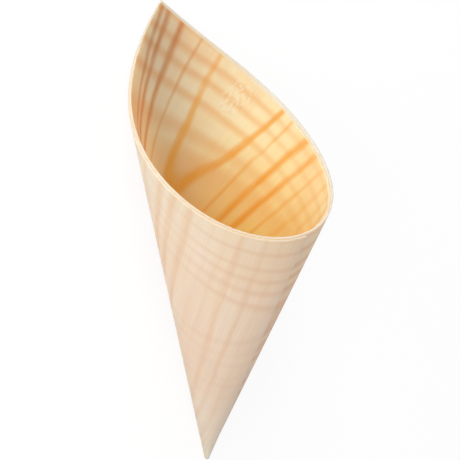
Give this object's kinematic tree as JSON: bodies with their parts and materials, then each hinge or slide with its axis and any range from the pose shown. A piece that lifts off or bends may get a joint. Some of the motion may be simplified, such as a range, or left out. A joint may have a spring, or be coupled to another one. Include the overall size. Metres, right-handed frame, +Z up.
{
  "type": "wooden serving cone",
  "caption": "Pointed serving cone of thin pale wood veneer, rolled from a flat sheet, with a slanted mouth that rises to a sharp tip.",
  "frame": {"origin": "middle of the bounding box in plan, on the ground that the cone lies on", "axes": "+X along the ground from the cone's point to its tall tip, +Z up, away from the ground; the glued seam is on top"},
  "size_m": [0.1792, 0.0658, 0.066],
  "materials": {
    "pine_veneer": "raw sliced veneer, matte"
  },
  "bodies": {
    "root": {"veneer_cone": "pine_veneer"}
  },
  "joints": []
}
